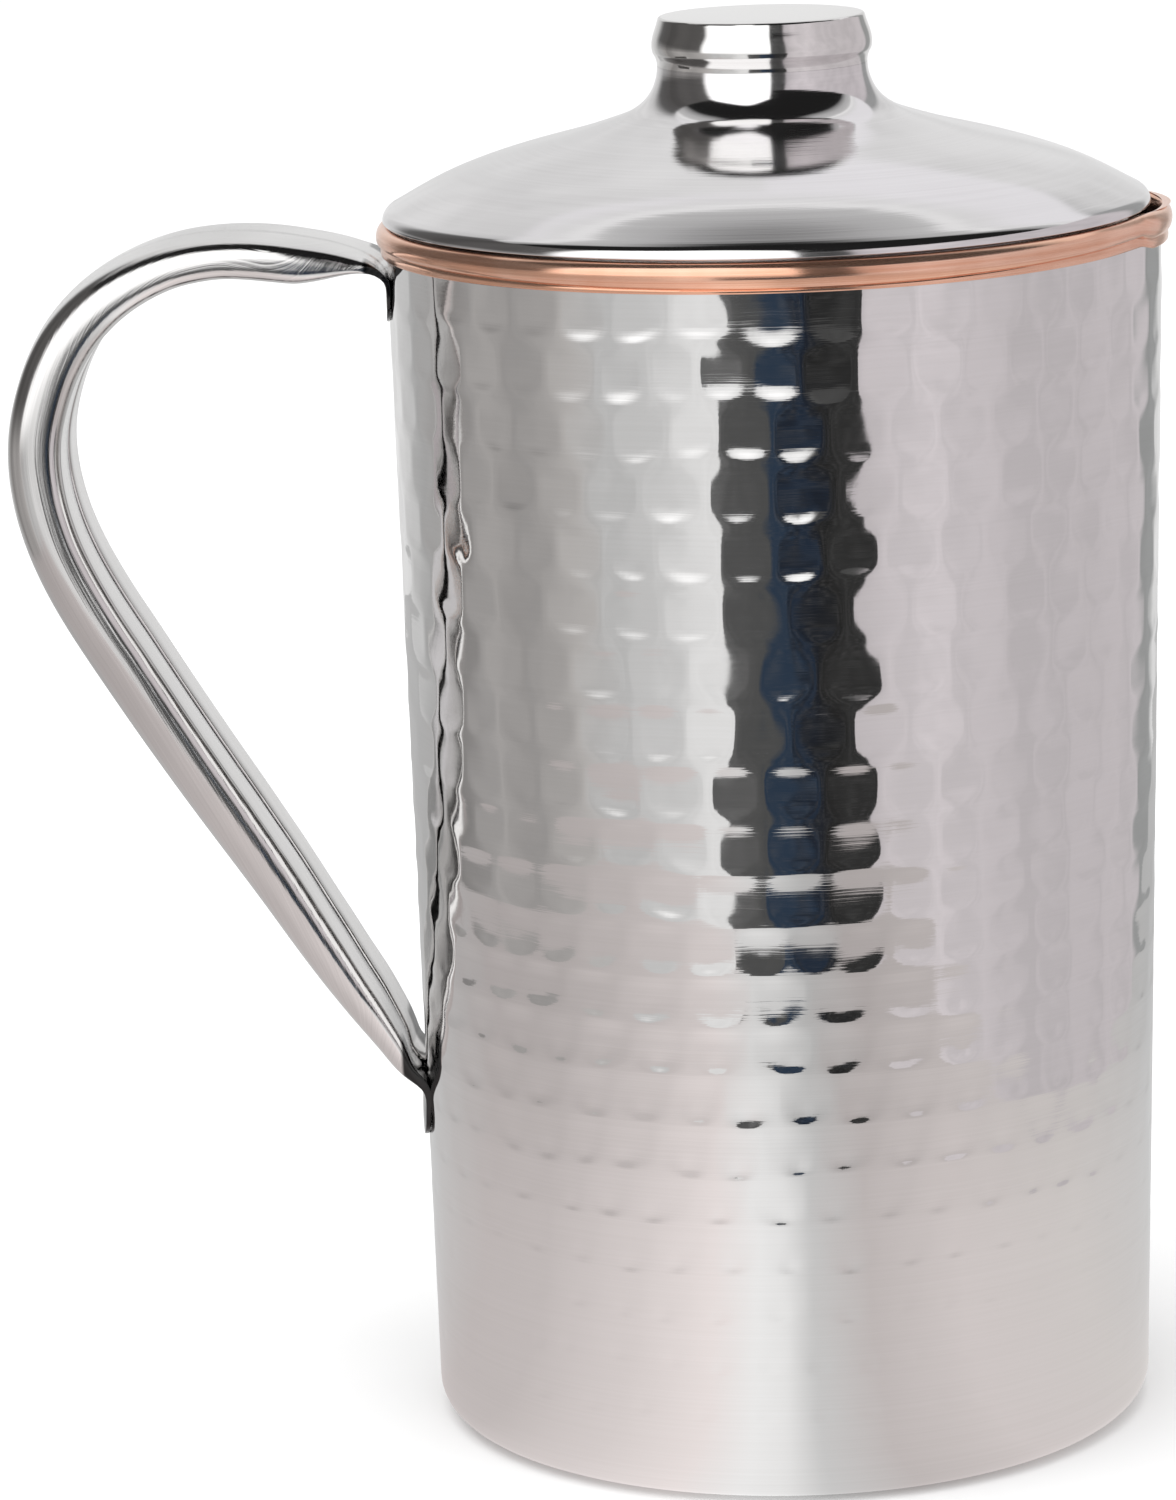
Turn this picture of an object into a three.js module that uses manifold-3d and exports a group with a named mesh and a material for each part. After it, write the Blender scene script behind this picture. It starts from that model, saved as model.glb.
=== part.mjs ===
// Double-walled water jug with a loose lid: hammered steel jacket, copper liner with a rolled
// rim and a pouring lip, stamped channel handle, and a spun steel lid with a hollow knob.
// Millimetres, +Z up. Origin: centre of the flat base, on the body's axis. +X points to the
// pouring lip, -X to the handle.
import * as THREE from 'three';
import { mergeVertices } from 'three/addons/utils/BufferGeometryUtils.js';
import Module from 'manifold-3d';

// Body
const JACKET_TOP_R = 55.0; // outer radius at the rim
const JACKET_BASE_R = 53.1; // outer radius just above the bottom corner
const JACKET_TOP_Z = 175.4;
const JACKET_T = 0.6; // steel sheet
const CORNER_R = 4.5; // bottom corner
const LINER_T = 0.6; // copper sheet
const GAP = 0.3; // clearance between sheets that touch in the real jug

// Rim
const BEAD_R = 56.4; // outermost radius of the rolled bead
const BEAD_MID_Z = 176.2;
const RIM_TOP_Z = 177.95;
const SKIRT_Z = 173.6; // lower edge of the copper turned down over the steel
const SKIRT_R = 55.8;

// Pouring lip: the wall is drawn outward round +X, most at the rim
const LIP_OUT = 2.1;
const LIP_HALF_DEG_TOP = 27; // half-width of the drawn part at the rim
const LIP_HALF_DEG_LOW = 46; // half-width where the drawn part has spread, lower down
const LIP_SPREAD_Z = 110;

// Lid
const LID_R = 55.4;
const LID_T = 0.7;
const LID_EDGE_Z = 178.3;
const RING_R = 52.2; // locating ring, outer radius
const RING_Z = 169.5;
const KNOB_TOP_Z = 206.4;
const WAIST_Z = 199.4;
const WAIST_R = 15.15;

// Handle
const HANDLE_T = 1.0; // steel strip
const HANDLE_W = 25.0;
const LIP_W = 6.2; // rolled-in edge of the channel
const TONGUE_TOP_Z = 165.5;
const TONGUE_LOW_Z = 41.8;

const ROUND = 60; // facets round the body

const wasm = await Module();
wasm.setup();

function toSolid(geometry) {
  const bare = geometry.clone();
  bare.deleteAttribute('normal');
  bare.deleteAttribute('uv');
  const merged = mergeVertices(bare, 1e-4);
  const index = merged.index.array;
  const tris = [];
  for (let i = 0; i < index.length; i += 3) {
    const [a, b, c] = [index[i], index[i + 1], index[i + 2]];
    if (a !== b && b !== c && c !== a) tris.push(a, b, c);
  }
  const vertProperties = new Float32Array(merged.attributes.position.array);
  let volume = 0;
  const corner = (i) => new THREE.Vector3().fromArray(vertProperties, 3 * i);
  for (let i = 0; i < tris.length; i += 3) {
    volume += corner(tris[i]).dot(corner(tris[i + 1]).cross(corner(tris[i + 2])));
  }
  if (volume < 0) tris.reverse();
  return new wasm.Manifold(new wasm.Mesh({ numProp: 3, vertProperties, triVerts: new Uint32Array(tris) }));
}

function fromSolid(solid) {
  const mesh = solid.getMesh();
  const geometry = new THREE.BufferGeometry();
  geometry.setAttribute('position', new THREE.BufferAttribute(new Float32Array(mesh.vertProperties), 3));
  geometry.setIndex(new THREE.BufferAttribute(new Uint32Array(mesh.triVerts), 1));
  geometry.computeVertexNormals();
  return geometry;
}

// Profile points are [radius, height]; they start and end on the axis or close on themselves.
function turned(profile) {
  const geometry = new THREE.LatheGeometry(profile.map(([r, z]) => new THREE.Vector2(r, z)), ROUND);
  geometry.rotateX(Math.PI / 2);
  return geometry;
}

function closed(profile) {
  return [...profile, profile[0]];
}

function arc(cx, cy, r, fromDeg, toDeg, steps) {
  const points = [];
  for (let i = 0; i <= steps; i += 1) {
    const a = THREE.MathUtils.degToRad(THREE.MathUtils.lerp(fromDeg, toDeg, i / steps));
    points.push([cx + r * Math.cos(a), cy + r * Math.sin(a)]);
  }
  return points;
}

// Outward draw of the wall at angle phi (0 at the lip) and height z.
function lipDraw(phi, z) {
  const up = THREE.MathUtils.clamp((z - 6) / (RIM_TOP_Z - 6), 0, 1);
  const narrow = THREE.MathUtils.smoothstep(z, LIP_SPREAD_Z, RIM_TOP_Z - 8);
  const half = THREE.MathUtils.degToRad(THREE.MathUtils.lerp(LIP_HALF_DEG_LOW, LIP_HALF_DEG_TOP, narrow));
  if (Math.abs(phi) >= half) return 0;
  return LIP_OUT * up * Math.cos((Math.PI / 2) * (phi / half)) ** 2;
}

function drawLip(geometry) {
  const p = geometry.attributes.position;
  for (let i = 0; i < p.count; i += 1) {
    const [x, y, z] = [p.getX(i), p.getY(i), p.getZ(i)];
    const r = Math.hypot(x, y);
    if (r < 40) continue;
    const k = (r + lipDraw(Math.atan2(y, x), z)) / r;
    p.setXY(i, x * k, y * k);
  }
  return geometry;
}

function wallR(z) {
  return JACKET_BASE_R + (JACKET_TOP_R - JACKET_BASE_R) * (z / JACKET_TOP_Z);
}

const WALL_LEVELS = [35, 75, 110, 135, 155, 166];

function jacket() {
  const corner = (inset, base) => arc(
    wallR(CORNER_R) - CORNER_R, CORNER_R, CORNER_R - inset, -90, 0, 3,
  ).map(([r, z]) => [r, Math.max(z, base)]);
  const outer = [...corner(0, 0), ...WALL_LEVELS.map((z) => [wallR(z), z]), [JACKET_TOP_R, JACKET_TOP_Z]];
  const inner = [...corner(JACKET_T, JACKET_T), ...WALL_LEVELS.map((z) => [wallR(z) - JACKET_T, z])];
  inner.push([JACKET_TOP_R - JACKET_T, JACKET_TOP_Z]);
  return drawLip(turned([[0, 0], ...outer, ...inner.reverse(), [0, JACKET_T]]));
}

function liner() {
  const out = JACKET_T + GAP; // the liner's outside, measured in from the jacket's outside
  const inn = out + LINER_T;
  const corner = (inset) => arc(wallR(CORNER_R) - CORNER_R, CORNER_R, CORNER_R - inset, -90, 0, 3);
  const wall = (inset) => WALL_LEVELS.map((z) => [wallR(z) - inset, z]);
  const outer = [...corner(out), ...wall(out), [JACKET_TOP_R - out, JACKET_TOP_Z + GAP]];
  const skirt = [
    [JACKET_TOP_R + GAP, JACKET_TOP_Z + GAP], [JACKET_TOP_R + GAP, SKIRT_Z + 0.1],
    [JACKET_TOP_R + GAP + 0.25, SKIRT_Z], [SKIRT_R, SKIRT_Z + 0.15], [SKIRT_R, SKIRT_Z + 0.9],
  ];
  const inside = JACKET_TOP_R - inn;
  const beadHalf = (BEAD_R - inside) / 2;
  const bead = arc(0, 0, 1, -50, 180, 8).map(([c, s]) => [
    BEAD_R - beadHalf + beadHalf * c, BEAD_MID_Z + (RIM_TOP_Z - BEAD_MID_Z) * s,
  ]);
  const inner = [[inside, JACKET_TOP_Z - 4], ...wall(inn).reverse(), ...corner(inn).reverse()];
  const base = CORNER_R - (CORNER_R - out);
  return drawLip(turned([[0, base], ...outer, ...skirt, ...bead, ...inner, [0, base + LINER_T]]));
}

// Lid surface from the waist of the neck out to the rolled edge.
const LID_PROFILE = [
  [WAIST_R, WAIST_Z - 0.3], [15.2, 198.2], [15.55, 196.6], [16.4, 195.0], [17.7, 193.6],
  [19.6, 192.5], [22, 191.5], [27, 190.05], [34, 188.3], [41, 186.3], [47.5, 183.8],
  [52.3, 181.2], [54.4, 179.95],
];

function lidDome() {
  const edge = arc(LID_R - 0.9, LID_EDGE_Z + 0.9, 0.9, 50, -90, 4);
  const under = [
    [LID_R - 2.2, LID_EDGE_Z], [LID_R - 2.2, LID_EDGE_Z + 0.9],
    ...LID_PROFILE.slice(1, -1).reverse().map(([r, z]) => {
      const steep = r < 17 ? 1 : 0;
      return [r - LID_T * (steep ? 1 : 0.45), z - LID_T * (steep ? 0.3 : 1)];
    }),
  ];
  const spigotR = WAIST_R - LID_T - GAP;
  const spigot = [
    [spigotR - LID_T, WAIST_Z - 0.3], [spigotR - LID_T, WAIST_Z + 2.2],
    [spigotR, WAIST_Z + 2.2], [spigotR, WAIST_Z - 0.3],
  ];
  return turned(closed([...LID_PROFILE, ...edge, ...under, ...spigot]));
}

function lidKnob() {
  const outer = [
    [WAIST_R, WAIST_Z], [15.5, WAIST_Z + 1.3], [15.9, WAIST_Z + 2.8], [15.75, WAIST_Z + 3.9],
    [15.15, WAIST_Z + 5.4], [14.75, KNOB_TOP_Z - 0.75], [14.1, KNOB_TOP_Z - 0.2], [13.2, KNOB_TOP_Z],
  ];
  const inner = [
    [13.2, KNOB_TOP_Z - LID_T], [13.9, KNOB_TOP_Z - LID_T - 0.3], [14.3, WAIST_Z + 5.2],
    [15.0, WAIST_Z + 3.2], [15.05, WAIST_Z + 2.6], [WAIST_R - LID_T, WAIST_Z],
  ];
  return turned([[0, KNOB_TOP_Z], ...outer.reverse(), ...inner.reverse(), [0, KNOB_TOP_Z - LID_T]]);
}

// L-section ring: a sloping flange under the dome and a skirt that drops into the mouth.
function locatingRing() {
  return turned(closed([
    [RING_R - 0.3, RING_Z], [RING_R, RING_Z + 0.3], [RING_R, 179.0], [RING_R - 1.0, 180.45],
    [48.2, 182.0], [48.0, 181.2], [RING_R - 0.8, 179.4], [RING_R - 0.8, RING_Z],
  ]));
}

// Ruled skin over equal-length rings of points, closed by fans at both ends.
function loft(rings) {
  const n = rings[0].length;
  const vertices = rings.flat();
  const index = [];
  for (let i = 0; i + 1 < rings.length; i += 1) {
    for (let j = 0; j < n; j += 1) {
      const [a, b] = [i * n + j, i * n + ((j + 1) % n)];
      index.push(a, b, b + n, a, b + n, a + n);
    }
  }
  for (const [start, flip] of [[0, true], [(rings.length - 1) * n, false]]) {
    const mid = vertices.length;
    const centre = new THREE.Vector3();
    for (let j = 0; j < n; j += 1) centre.addScaledVector(vertices[start + j], 1 / n);
    vertices.push(centre);
    for (let j = 0; j < n; j += 1) {
      const [a, b] = [start + j, start + ((j + 1) % n)];
      index.push(...(flip ? [mid, b, a] : [mid, a, b]));
    }
  }
  const geometry = new THREE.BufferGeometry().setFromPoints(vertices);
  geometry.setIndex(index);
  return geometry;
}

// Outer edge of the handle in its own plane, as [distance from the axis, height], from the
// upper tongue over the crest and down to the lower tongue; the third number is the channel's
// depth there, and the fourth how closely the strip follows the round jacket. The upper tongue
// lies on the jacket with the strip's outer face, the lower one with its inner face.
const TONGUE_OUT = GAP + HANDLE_T;
const HANDLE_LINE = [
  [wallR(165) + GAP, TONGUE_TOP_Z, 1, 1], [wallR(168) + GAP, 168.4, 1, 1],
  [wallR(170) + GAP + 0.15, 170.8, 1, 0.9], [57.2, 173.0, 1.4, 0.6], [60.6, 174.8, 3.6, 0.3],
  [65.0, 176.0, 5.3, 0.1], [71.0, 177.0, 5.7, 0], [78.5, 177.3, 5.5, 0], [86.0, 176.5, 6.1, 0],
  [93.5, 174.0, 6.9, 0], [100.2, 169.8, 7.7, 0], [105.3, 164.2, 8.2, 0], [108.8, 157.0, 8.3, 0],
  [110.7, 149.0, 8.3, 0], [110.6, 140.5, 8.4, 0], [108.6, 131.8, 8.5, 0], [104.8, 122.8, 8.7, 0],
  [99.2, 113.0, 8.8, 0], [91.9, 101.4, 8.5, 0], [84.3, 90.0, 8.1, 0], [76.8, 79.1, 7.4, 0],
  [69.4, 68.6, 6.2, 0.05], [63.2, 60.4, 4.6, 0.2], [58.6, 55.2, 2.6, 0.5],
  [wallR(51) + TONGUE_OUT + 0.2, 51.4, 1.1, 0.9], [wallR(48) + TONGUE_OUT, 48.3, 1, 1],
  [wallR(43) + TONGUE_OUT, TONGUE_LOW_Z, 1, 1],
];

// Stations along the handle: position, inward normal, depth and how far the jacket bends it.
function handleStations(count) {
  const curve = new THREE.CatmullRomCurve3(
    HANDLE_LINE.map(([s, z]) => new THREE.Vector3(s, 0, z)), false, 'centripetal',
  );
  const stations = [];
  const last = HANDLE_LINE.length - 1;
  for (let i = 0; i <= count; i += 1) {
    const t = i / count;
    const at = curve.getPoint(t);
    const along = curve.getTangent(t);
    const k = Math.min(Math.floor(t * last), last - 1);
    const f = t * last - k;
    const mix = (column) => THREE.MathUtils.lerp(HANDLE_LINE[k][column], HANDLE_LINE[k + 1][column], f);
    const tip = Math.min(t, 1 - t) * last; // 0 at either end of the strip
    stations.push({
      s: at.x, z: at.z, ns: along.z, nz: -along.x, depth: mix(2), wrap: mix(3),
      width: HANDLE_W * (0.62 + 0.38 * Math.min(1, tip / 0.8) ** 0.5),
    });
  }
  return stations;
}

// Puts a section point (across, inward) of a station into the jug's frame.
function place(station, across, inward) {
  const bend = wallR(station.z) - Math.sqrt(wallR(station.z) ** 2 - across ** 2);
  const s = station.s + station.ns * inward - station.wrap * bend;
  return new THREE.Vector3(-s, across, station.z + station.nz * inward);
}

// Rounded box section between two depths.
function boxSection(half, top, bottom, rTop, rBottom) {
  const points = [];
  const corners = [
    [-half + rTop, top + rTop, rTop, 180, 270], [half - rTop, top + rTop, rTop, 270, 360],
    [half - rBottom, bottom - rBottom, rBottom, 0, 90], [-half + rBottom, bottom - rBottom, rBottom, 90, 180],
  ];
  for (const [cx, cy, r, from, to] of corners) points.push(...arc(cx, cy, r, from, to, 2));
  for (let i = 1; i < 4; i += 1) { // points across the crown, so that it can follow the jacket
    points.splice(2 + i, 0, [THREE.MathUtils.lerp(-half + rTop, half - rTop, i / 4), top]);
  }
  for (let i = 1; i < 4; i += 1) {
    points.splice(11 + i, 0, [THREE.MathUtils.lerp(half - rBottom, -half + rBottom, i / 4), bottom]);
  }
  return points;
}

function sectionLoft(stations, section) {
  return loft(stations.map((st) => section(st).map(([across, inward]) => place(st, across, inward))));
}

function handle() {
  const stations = handleStations(46);
  const body = sectionLoft(stations, (st) => {
    const r = Math.min(2.4, st.depth * 0.42);
    return boxSection(st.width / 2, 0, st.depth, r, Math.min(1.6, st.depth * 0.42));
  });
  const hollow = stations.filter((st) => st.depth > 3.2);
  const cavity = sectionLoft(hollow, (st) => {
    const r = Math.min(1.4, (st.depth - 2 * HANDLE_T) * 0.4);
    return boxSection(st.width / 2 - HANDLE_T, HANDLE_T, st.depth - HANDLE_T, r, Math.min(0.6, r));
  });
  const slot = sectionLoft(hollow, (st) => (
    boxSection(st.width / 2 - LIP_W, st.depth - HANDLE_T - 0.5, st.depth + 1.5, 0.1, 0.1)
  ));
  return fromSolid(toSolid(body).subtract(toSolid(cavity)).subtract(toSolid(slot)));
}

function piece(name, geometry, color, roughness) {
  const material = new THREE.MeshStandardMaterial({ color, roughness, metalness: 1 });
  const mesh = new THREE.Mesh(geometry, material);
  mesh.name = name;
  return mesh;
}

const STEEL = 0xc9c7c4;
const COPPER = 0xd6966f;

const jug = new THREE.Group();
jug.add(piece('steel_jacket', fromSolid(toSolid(jacket())), STEEL, 0.08));
jug.add(piece('copper_liner', fromSolid(toSolid(liner())), COPPER, 0.25));
jug.add(piece('handle', handle(), STEEL, 0.15));

const lid = new THREE.Group();
lid.add(piece('lid_dome', fromSolid(toSolid(lidDome())), STEEL, 0.12));
lid.add(piece('lid_knob', fromSolid(toSolid(lidKnob())), STEEL, 0.08));
lid.add(piece('lid_locating_ring', fromSolid(toSolid(locatingRing())), STEEL, 0.2));
jug.add(lid);

export default jug;
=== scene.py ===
"""Double-walled water jug: hammered steel jacket, copper liner with a rolled rim and a pouring
lip, channel handle, spun steel lid with a hollow knob, and the ring that centres the lid.

The shape code is in millimetres, and each mesh is scaled to metres as it is made. Materials,
studio and camera are in metres. The jug stands on z = 0 and its axis is Z. The pouring lip
points to +X, the handle to -X, and the camera looks along +Y.
"""

import math

import bpy
import numpy as np
from mathutils import Matrix, Vector


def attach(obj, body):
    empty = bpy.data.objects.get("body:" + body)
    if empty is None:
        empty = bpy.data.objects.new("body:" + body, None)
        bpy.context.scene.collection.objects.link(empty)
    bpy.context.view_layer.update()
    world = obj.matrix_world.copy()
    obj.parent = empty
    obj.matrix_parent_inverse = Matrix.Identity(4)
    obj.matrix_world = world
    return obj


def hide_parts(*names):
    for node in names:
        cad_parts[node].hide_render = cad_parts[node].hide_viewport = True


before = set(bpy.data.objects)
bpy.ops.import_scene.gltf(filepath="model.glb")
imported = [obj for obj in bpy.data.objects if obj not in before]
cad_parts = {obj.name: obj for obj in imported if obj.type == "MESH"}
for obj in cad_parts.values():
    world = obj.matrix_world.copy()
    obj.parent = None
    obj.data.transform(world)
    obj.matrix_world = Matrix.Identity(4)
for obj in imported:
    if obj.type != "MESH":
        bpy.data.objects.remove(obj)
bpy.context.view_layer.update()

MM = 0.001
TURN = 2 * math.pi
rng = np.random.default_rng(7)

# ---------------------------------------------------------------- sizes, mm
JACKET_TOP_R, JACKET_BASE_R, JACKET_TOP_Z = 55.0, 53.1, 175.4
SHEET = 0.6
GAP = 0.3
CORNER_R = 4.5
RIM_TOP_Z = 177.95
# the pouring lip: how far it is drawn out, its half width at the rim and low on the wall, the
# heights between which it narrows, and where it ends below
LIP_OUT, LIP_TOP_DEG, LIP_LOW_DEG = 2.1, 27.0, 46.0
LIP_SPREAD_Z, LIP_NECK_Z, LIP_FOOT_Z = 110.0, RIM_TOP_Z - 8, 6.0
# points nearer the axis than this belong to the flat floor, which the lip doesn't pull out
FLOOR_R = 40.0


def smooth(lo, hi, x):
    """0 below lo and 1 above hi, with a smooth change between them."""
    t = np.clip((np.asarray(x, float) - lo) / (hi - lo), 0, 1)
    return t * t * (3 - 2 * t)


def wall_r(z):
    """Radius of the jacket's tapered wall, without the lip."""
    return JACKET_BASE_R + (JACKET_TOP_R - JACKET_BASE_R) * np.asarray(z, float) / JACKET_TOP_Z


def lip_draw(phi, z):
    """How far the wall is drawn out round +X for the pouring lip."""
    up = np.clip((z - LIP_FOOT_Z) / (RIM_TOP_Z - LIP_FOOT_Z), 0, 1)
    narrow = smooth(LIP_SPREAD_Z, LIP_NECK_Z, z)
    half = np.radians(LIP_LOW_DEG + (LIP_TOP_DEG - LIP_LOW_DEG) * narrow)
    swell = np.cos(np.pi / 2 * np.clip(phi / half, -1, 1)) ** 2
    return np.where(np.abs(phi) < half, LIP_OUT * up * swell, 0)


# ---------------------------------------------------------------- mesh helpers
def build(name, verts, quads, tris, sharp_deg):
    """A closed mesh from points in mm, with its faces turned outwards. Edges sharper than
    sharp_deg are shaded as edges, and 0 shades all of it smooth."""
    verts = np.asarray(verts, float) * MM
    quads, tris = np.asarray(quads, int).reshape(-1, 4), np.asarray(tris, int).reshape(-1, 3)
    every = np.concatenate([quads[:, [0, 1, 2]], quads[:, [0, 2, 3]], tris])
    a, b, c = (verts[every[:, i]] for i in range(3))
    inside_out = np.einsum("ij,ij->i", a, np.cross(b, c)).sum() < 0
    if inside_out:
        quads, tris = quads[:, ::-1], tris[:, ::-1]
    loops = np.concatenate([quads.ravel(), tris.ravel()]).astype(np.int32)
    sizes = np.concatenate([np.full(len(quads), 4), np.full(len(tris), 3)]).astype(np.int32)
    starts = np.concatenate([[0], np.cumsum(sizes)[:-1]]).astype(np.int32)
    mesh = bpy.data.meshes.new(name)
    mesh.vertices.add(len(verts))
    mesh.vertices.foreach_set("co", verts.astype(np.float32).ravel())
    mesh.loops.add(len(loops))
    mesh.loops.foreach_set("vertex_index", loops)
    mesh.polygons.add(len(sizes))
    mesh.polygons.foreach_set("loop_start", starts)
    mesh.polygons.foreach_set("loop_total", sizes)
    mesh.update(calc_edges=True)
    mesh.validate()
    mesh.shade_smooth()
    if sharp_deg:
        mesh.set_sharp_from_angle(angle=math.radians(sharp_deg))
    obj = bpy.data.objects.new(name, mesh)
    bpy.context.scene.collection.objects.link(obj)
    return obj


def revolve(name, profile, count, sharp_deg, bend=None):
    """Turns a closed outline [(radius, height)] round Z. Points on the axis become one vertex.
    bend(phi, r, z) returns new r and z."""
    phi = np.arange(count) * TURN / count
    verts, rings = [], []
    for r, z in profile:
        start = len(verts)
        if r < 1e-6:
            rings.append([start])
            verts.append((0, 0, z))
            continue
        rr, zz = np.full(count, float(r)), np.full(count, float(z))
        if bend:
            rr, zz = bend(phi, rr, zz)
        verts.extend(zip(rr * np.cos(phi), rr * np.sin(phi), zz))
        rings.append(list(range(start, start + count)))
    quads, tris = [], []
    pairs = list(zip(rings, rings[1:]))
    if len(rings[0]) > 1:
        pairs.append((rings[-1], rings[0]))
    for lo, hi in pairs:
        for i in range(count):
            j = (i + 1) % count
            if len(lo) == 1:
                tris.append((lo[0], hi[j], hi[i]))
            elif len(hi) == 1:
                tris.append((lo[i], lo[j], hi[0]))
            else:
                quads.append((lo[i], lo[j], hi[j], hi[i]))
    return build(name, verts, quads, tris, sharp_deg)


def arc(cx, cy, r, start, end, steps):
    """Points on a circle, from start to end in degrees."""
    a = np.radians(np.linspace(start, end, steps + 1))
    return [(cx + r * math.cos(t), cy + r * math.sin(t)) for t in a]


def lengths(points):
    """How far along the line of points each point is."""
    return np.concatenate([[0], np.cumsum(np.linalg.norm(np.diff(points, axis=0), axis=1))])


def spline(points, step):
    """A smooth curve through points (natural cubic in chord length), sampled every step."""
    p = np.asarray(points, float)
    s = lengths(p)
    n = len(p)
    h = np.diff(s)
    m = np.zeros((n, n))
    rhs = np.zeros((n, p.shape[1]))
    m[0, 0] = m[-1, -1] = 1
    for i in range(1, n - 1):
        m[i, i - 1], m[i, i], m[i, i + 1] = h[i - 1], 2 * (h[i - 1] + h[i]), h[i]
        rhs[i] = 6 * ((p[i + 1] - p[i]) / h[i] - (p[i] - p[i - 1]) / h[i - 1])
    k = np.linalg.solve(m, rhs)
    at = np.linspace(0, s[-1], max(2, int(math.ceil(s[-1] / step)) + 1))
    i = np.clip(np.searchsorted(s, at, side="right") - 1, 0, n - 2)
    d, hi = (at - s[i])[:, None], h[i][:, None]
    b = (p[i + 1] - p[i]) / hi - hi * (2 * k[i] + k[i + 1]) / 6
    return p[i] + b * d + k[i] * d ** 2 / 2 + (k[i + 1] - k[i]) * d ** 3 / (6 * hi)


def curve(points, step):
    """A spline as a list of pairs, to go into an outline."""
    return [tuple(p) for p in spline(points, step)]


# ---------------------------------------------------------------- node helpers
class Nodes:
    """Short names for the few node types used here. Values may be numbers or sockets."""

    def __init__(self, tree):
        self.tree = tree
        tree.nodes.clear()

    def make(self, kind, inputs=(), **settings):
        node = self.tree.nodes.new(kind)
        for key, value in settings.items():
            setattr(node, key, value)
        for key, value in dict(inputs).items():
            self.put(value, node.inputs[key])
        return node

    def put(self, value, socket):
        if isinstance(value, bpy.types.NodeSocket):
            self.tree.links.new(value, socket)
        else:
            socket.default_value = value

    def math(self, op, a, b=0.0, clamp=False):
        return self.make("ShaderNodeMath", {0: a, 1: b}, operation=op, use_clamp=clamp).outputs[0]

    def add(self, a, b, clamp=False):
        return self.math("ADD", a, b, clamp)

    def minus(self, a, b, clamp=False):
        return self.math("SUBTRACT", a, b, clamp)

    def times(self, a, b):
        return self.math("MULTIPLY", a, b)

    def radius(self, x, y):
        return self.math("SQRT", self.add(self.times(x, x), self.times(y, y)))

    def azimuth(self, x, y):
        """0 towards the camera, positive towards the lip."""
        return self.math("ARCTAN2", x, self.times(y, -1.0))

    def step(self, value, lo, hi, out_lo=0.0, out_hi=1.0):
        """Smooth change from out_lo to out_hi as value goes from lo to hi."""
        return self.make("ShaderNodeMapRange", {0: value, 1: lo, 2: hi, 3: out_lo, 4: out_hi},
                         interpolation_type="SMOOTHSTEP").outputs[0]

    def mix(self, factor, a, b):
        return self.make("ShaderNodeMix", {0: factor, 6: a, 7: b}, data_type="RGBA").outputs[2]

    def noise(self, vector, scale, detail, rough):
        inputs = {"Vector": vector, "Scale": scale, "Detail": detail, "Roughness": rough}
        return self.make("ShaderNodeTexNoise", inputs).outputs["Fac"]

    def coords(self, kind):
        return self.make("ShaderNodeTexCoord").outputs[kind]

    def xyz(self, vector):
        return self.make("ShaderNodeSeparateXYZ", {0: vector}).outputs

    def vector(self, x, y, z):
        return self.make("ShaderNodeCombineXYZ", {0: x, 1: y, 2: z}).outputs[0]

    def ramp(self, factor, stops):
        node = self.make("ShaderNodeValToRGB", {0: factor})
        elements = node.color_ramp.elements
        while len(elements) > 1:
            elements.remove(elements[-1])
        elements[0].position, elements[0].color = stops[0]
        for place, colour in stops[1:]:
            elements.new(place).color = colour
        return node.outputs[0]

    def ramp_round(self, azimuth, stops):
        """A colour for each azimuth. The stops (degrees, colour) go once round the jug."""
        turn = self.add(self.math("DIVIDE", azimuth, TURN), 0.5)
        return self.ramp(turn, [(deg / 360 + 0.5, colour) for deg, colour in stops])


def grey(v, tint=(1, 1, 1)):
    return (v * tint[0], v * tint[1], v * tint[2], 1.0)


# ---------------------------------------------------------------- metals
WALL_SLOPE = 0.0108              # how far the jacket's wall leans out for each unit of height
TONGUE_SHADE_EDGE = (0.0055, 0.0075)     # how far from its middle a tongue of the handle darkens, as painted shade
# painted shade: the near black that the edges of the handle's tongues turn next to the jacket
TONGUE_SHADE_TINT = grey(0.04)
CLOUD_LO, CLOUD_HI = 0.3, 0.7    # the part of the noise's range that is spread over the tints


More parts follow.
